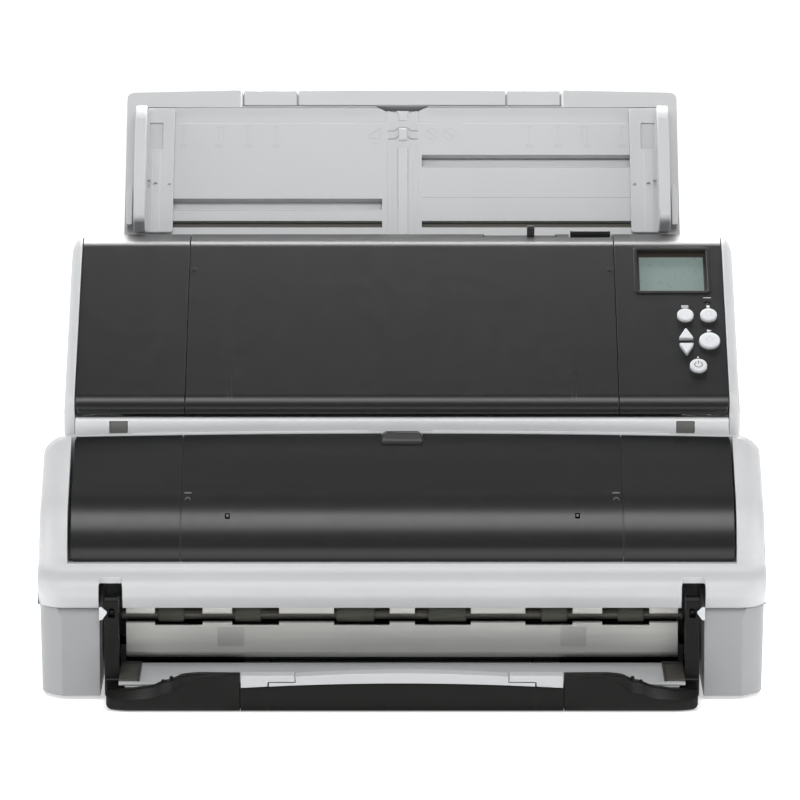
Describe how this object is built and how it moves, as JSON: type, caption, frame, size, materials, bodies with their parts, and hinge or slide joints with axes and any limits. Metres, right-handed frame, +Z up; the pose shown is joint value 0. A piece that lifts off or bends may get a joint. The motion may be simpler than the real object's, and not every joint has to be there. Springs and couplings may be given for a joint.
{
  "type": "sheet fed document scanner",
  "caption": "Desktop sheet fed scanner on a printing base, with a reclined paper chute and coupled side guides, a hinged feeder unit with keys and display, and a pull-out output stacker",
  "frame": {"origin": "centre of the footprint, on the table", "axes": "+Z up, +X to the viewer's right as seen from the front, the paper exit and the operator face -Y"},
  "size_m": [0.403, 0.3236, 0.2946],
  "materials": {
    "white_shell": "fine spark-textured light grey moulding",
    "chute_grey": "fine textured light grey moulding",
    "dark_panel": "dark charcoal, speckled satin sheen",
    "black_plastic": "black moulded plastic, satin",
    "guide_grey": "smooth warm grey paper guide",
    "steel": "ground steel",
    "roller_rubber": "grey-green rubber",
    "foot_rubber": "black rubber",
    "key_plastic": "light grey keys",
    "display_glass": "green-grey display window",
    "board": "circuit board"
  },
  "bodies": {
    "base": {"imprinter_upper_shell": "white_shell", "imprinter_left_cheek": "white_shell", "imprinter_right_cheek": "white_shell", "imprinter_bed": "white_shell", "imprinter_floor": "black_plastic", "exit_upper_guide": "guide_grey", "exit_lower_guide": "guide_grey", "imprinter_platen": "guide_grey", "carriage_rail": "steel", "foot_front_left": "foot_rubber", "foot_front_right": "foot_rubber", "foot_rear_left": "foot_rubber", "foot_rear_right": "foot_rubber", "side_shell_left": "white_shell", "side_shell_right": "white_shell", "scanner_front_cover": "white_shell", "scanner_base_plate": "guide_grey", "rear_cover": "white_shell", "power_inlet": "black_plastic", "usb_port": "steel", "main_board": "board", "lower_paper_guide": "guide_grey", "lower_scan_unit": "black_plastic", "feed_motor": "steel", "drive_belt": "black_plastic", "paper_chute": "chute_grey", "chute_back_cover": "chute_grey"},
    "adf_unit": {"adf_left_cover": "dark_panel", "adf_center_cover": "dark_panel", "operator_panel": "dark_panel", "lcd_display": "display_glass", "adf_inner_frame": "guide_grey", "upper_scan_unit": "black_plastic"},
    "release_tab": {"adf_release_tab": "black_plastic"},
    "feed_selector": {"feed_selector": "black_plastic"},
    "menu_button": {"menu_button": "key_plastic"},
    "stop_button": {"stop_button": "key_plastic"},
    "scan_button": {"scan_button": "key_plastic"},
    "power_button": {"power_button": "key_plastic"},
    "up_button": {"up_button": "key_plastic"},
    "down_button": {"down_button": "key_plastic"},
    "brake_roller": {"brake_roller": "roller_rubber"},
    "feed_roller": {"feed_roller": "roller_rubber"},
    "pick_roller": {"pick_roller": "roller_rubber"},
    "motor_pulley": {"motor_pulley": "steel"},
    "imprinter_cover": {"imprinter_cover": "dark_panel"},
    "cover_latch": {"cover_latch": "black_plastic"},
    "print_carriage": {"print_carriage": "black_plastic", "print_cartridge": "dark_panel"},
    "exit_roller": {"exit_roller_shaft": "roller_rubber"},
    "stacker": {"stacker_frame": "black_plastic", "stacker_plate": "white_shell"},
    "stacker_extension_1": {"stacker_extension_1": "white_shell"},
    "stacker_extension_2": {"stacker_extension_2": "white_shell"},
    "chute_extension": {"chute_extension": "chute_grey"},
    "side_guide_left": {"side_guide_left": "chute_grey"},
    "side_guide_right": {"side_guide_right": "chute_grey"},
    "guide_pinion": {"guide_pinion": "key_plastic"},
    "guide_lock_left": {"guide_lock_left": "black_plastic"},
    "guide_lock_right": {"guide_lock_right": "black_plastic"}
  },
  "joints": [
    {"name": "adf_hinge", "type": "hinge", "parent": "base", "child": "adf_unit", "pos_m": [0, -0.04635, 0.14967], "axis": [1, 0, 0], "range_deg": [0, 75]},
    {"name": "release_tab_pull", "type": "hinge", "parent": "adf_unit", "child": "release_tab", "pos_m": [0.1078, 0.07298, 0.2184], "axis": [1, 0, 0], "range_deg": [0, 8], "stiffness_Nm_per_rad": 0.05},
    {"name": "feed_selector_slide", "type": "slide", "parent": "adf_unit", "child": "feed_selector", "axis": [1, 0, 0], "range_m": [-0.013, 0]},
    {"name": "menu_button_press", "type": "slide", "parent": "adf_unit", "child": "menu_button", "axis": [0, 0.545, -0.8384], "range_m": [0, 0.001], "stiffness_N_per_m": 300},
    {"name": "stop_button_press", "type": "slide", "parent": "adf_unit", "child": "stop_button", "axis": [0, 0.545, -0.8384], "range_m": [0, 0.001], "stiffness_N_per_m": 300},
    {"name": "scan_button_press", "type": "slide", "parent": "adf_unit", "child": "scan_button", "axis": [0, 0.545, -0.8384], "range_m": [0, 0.001], "stiffness_N_per_m": 300},
    {"name": "power_button_press", "type": "slide", "parent": "adf_unit", "child": "power_button", "axis": [0, 0.545, -0.8384], "range_m": [0, 0.001], "stiffness_N_per_m": 300},
    {"name": "up_button_press", "type": "slide", "parent": "adf_unit", "child": "up_button", "axis": [0, 0.545, -0.8384], "range_m": [0, 0.001], "stiffness_N_per_m": 300},
    {"name": "down_button_press", "type": "slide", "parent": "adf_unit", "child": "down_button", "axis": [0, 0.545, -0.8384], "range_m": [0, 0.001], "stiffness_N_per_m": 300},
    {"name": "brake_roller_spin", "type": "hinge", "parent": "adf_unit", "child": "brake_roller", "pos_m": [0, 0.04235, 0.1923], "axis": [1, 0, 0], "continuous": true},
    {"name": "feed_roller_spin", "type": "hinge", "parent": "base", "child": "feed_roller", "pos_m": [0, 0.05244, 0.17751], "axis": [1, 0, 0], "continuous": true},
    {"name": "motor_pulley_spin", "type": "hinge", "parent": "base", "child": "motor_pulley", "pos_m": [-0.172, 0.09218, 0.112], "axis": [1, 0, 0], "continuous": true},
    {"name": "pick_roller_spin", "type": "hinge", "parent": "base", "child": "pick_roller", "pos_m": [0, 0.07276, 0.1912], "axis": [1, 0, 0], "continuous": true},
    {"name": "imprinter_cover_hinge", "type": "hinge", "parent": "base", "child": "imprinter_cover", "pos_m": [0, -0.11982, 0.081], "axis": [1, 0, 0], "range_deg": [0, 78]},
    {"name": "cover_latch_pull", "type": "hinge", "parent": "imprinter_cover", "child": "cover_latch", "pos_m": [0, -0.06682, 0.126], "axis": [1, 0, 0], "range_deg": [0, 7], "stiffness_Nm_per_rad": 0.05},
    {"name": "print_carriage_slide", "type": "slide", "parent": "base", "child": "print_carriage", "axis": [1, 0, 0], "range_m": [0, 0.3]},
    {"name": "exit_roller_spin", "type": "hinge", "parent": "base", "child": "exit_roller", "pos_m": [0, -0.09842, 0.0402], "axis": [1, 0, 0], "continuous": true},
    {"name": "stacker_pull", "type": "slide", "parent": "base", "child": "stacker", "axis": [0, -1, 0], "range_m": [0, 0.06]},
    {"name": "stacker_extension_1_slide", "type": "slide", "parent": "stacker", "child": "stacker_extension_1", "axis": [0, -1, 0], "range_m": [0, 0.06]},
    {"name": "stacker_extension_2_slide", "type": "slide", "parent": "stacker_extension_1", "child": "stacker_extension_2", "axis": [0, -1, 0], "range_m": [0, 0.055]},
    {"name": "chute_extension_slide", "type": "slide", "parent": "base", "child": "chute_extension", "axis": [0, 0.6428, 0.766], "range_m": [0, 0.06]},
    {"name": "side_guide_left_slide", "type": "slide", "parent": "base", "child": "side_guide_left", "axis": [1, 0, 0], "range_m": [0, 0.118]},
    {"name": "side_guide_right_slide", "type": "slide", "parent": "base", "child": "side_guide_right", "axis": [1, 0, 0], "range_m": [-0.118, 0]},
    {"name": "guide_pinion_spin", "type": "hinge", "parent": "base", "child": "guide_pinion", "pos_m": [0, 0.11712, 0.24427], "axis": [0, -0.766, 0.6428], "range_deg": [0, 564]},
    {"name": "guide_lock_left_slide", "type": "slide", "parent": "side_guide_left", "child": "guide_lock_left", "axis": [0, 0.6428, 0.766], "range_m": [0, 0.005]},
    {"name": "guide_lock_right_slide", "type": "slide", "parent": "side_guide_right", "child": "guide_lock_right", "axis": [0, 0.6428, 0.766], "range_m": [0, 0.005]}
  ],
  "couplings": [
    {"joint": "side_guide_right_slide", "follows": "side_guide_left_slide", "ratio": -1},
    {"joint": "guide_pinion_spin", "follows": "side_guide_left_slide", "rad_per_m": 83.333},
    {"joint": "motor_pulley_spin", "follows": "feed_roller_spin", "ratio": 2}
  ]
}
